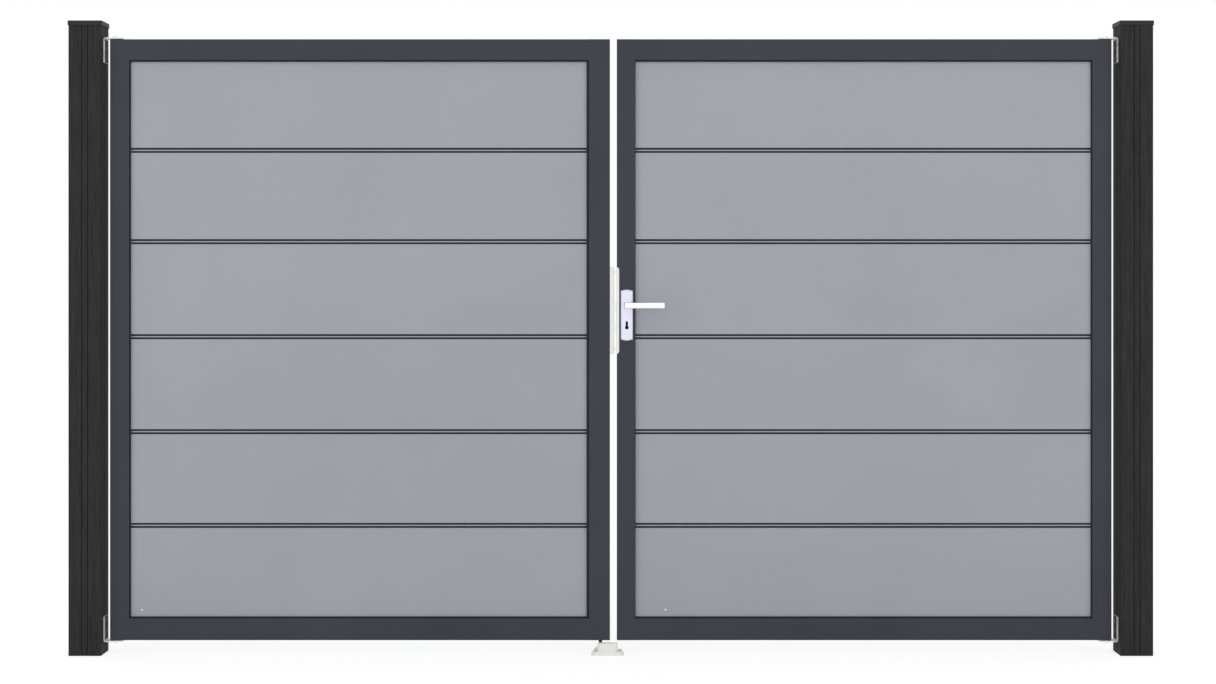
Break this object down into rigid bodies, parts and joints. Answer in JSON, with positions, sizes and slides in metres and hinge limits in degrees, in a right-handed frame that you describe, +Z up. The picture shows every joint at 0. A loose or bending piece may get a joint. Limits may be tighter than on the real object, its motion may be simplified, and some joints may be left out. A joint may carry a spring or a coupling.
{
  "type": "double swing gate",
  "caption": "Double swing gate with board-filled leaves in dark frames, pivot hinges on square posts, a lever lock, a drop bolt and a floor stop.",
  "frame": {"origin": "middle of the left post's foot, on the ground", "axes": "+X along the gate to the right post, +Y to the inside where the leaves open, +Z up"},
  "size_m": [3.24, 0.154, 1.8975],
  "materials": {
    "post": "matt, fine upright grain",
    "frame": "dark grey powder coat",
    "board": "light grey powder coat",
    "end_piece": "matt",
    "zinc_steel": "zinc plated",
    "pale_steel": "satin",
    "inner_steel": "plain",
    "lock_set": "satin anodised",
    "floor_stop": "cast, pale",
    "drop_bolt": "dark coated"
  },
  "bodies": {
    "posts": {"left_post": "post", "right_post": "post", "left_post_cap": "post", "right_post_cap": "post", "left_upper_hinge_bracket": "zinc_steel", "left_lower_hinge_bracket": "zinc_steel", "right_upper_hinge_bracket": "zinc_steel", "right_lower_hinge_bracket": "zinc_steel", "floor_stop": "floor_stop"},
    "left_leaf": {"left_hinge_stile": "frame", "left_meeting_stile": "frame", "left_top_rail": "frame", "left_bottom_rail": "frame", "left_meeting_stile_caps": "end_piece", "left_upper_hinge_block": "end_piece", "left_lower_hinge_block": "end_piece", "left_board_1": "board", "left_board_2": "board", "left_board_3": "board", "left_board_4": "board", "left_board_5": "board", "left_board_6": "board", "lock_keep": "pale_steel", "drop_bolt_guides": "zinc_steel"},
    "right_leaf": {"right_hinge_stile": "frame", "right_meeting_stile": "frame", "right_top_rail": "frame", "right_bottom_rail": "frame", "right_meeting_stile_caps": "end_piece", "right_upper_hinge_block": "end_piece", "right_lower_hinge_block": "end_piece", "right_board_1": "board", "right_board_2": "board", "right_board_3": "board", "right_board_4": "board", "right_board_5": "board", "right_board_6": "board", "lock_forend": "pale_steel", "lock_case": "inner_steel", "front_lock_plate": "lock_set", "back_lock_plate": "lock_set"},
    "lever": {"front_lever": "lock_set", "back_lever": "lock_set", "lever_spindle": "inner_steel"},
    "drop_bolt": {"drop_bolt": "drop_bolt"}
  },
  "joints": [
    {"name": "left_leaf_swing", "type": "hinge", "parent": "posts", "child": "left_leaf", "pos_m": [0.08275, 0, 1], "axis": [0, 0, 1], "range_deg": [0, 100]},
    {"name": "right_leaf_swing", "type": "hinge", "parent": "posts", "child": "right_leaf", "pos_m": [3.05475, 0, 1], "axis": [0, 0, -1], "range_deg": [0, 100]},
    {"name": "lever_turn", "type": "hinge", "parent": "right_leaf", "child": "lever", "pos_m": [1.61675, 0, 1.045], "axis": [0, 1, 0], "range_deg": [0, 40], "stiffness_Nm_per_rad": 0.8, "springref_deg": -34.38},
    {"name": "drop_bolt_slide", "type": "slide", "parent": "left_leaf", "child": "drop_bolt", "axis": [0, 0, 1], "range_m": [-0.02, 0.06]}
  ]
}
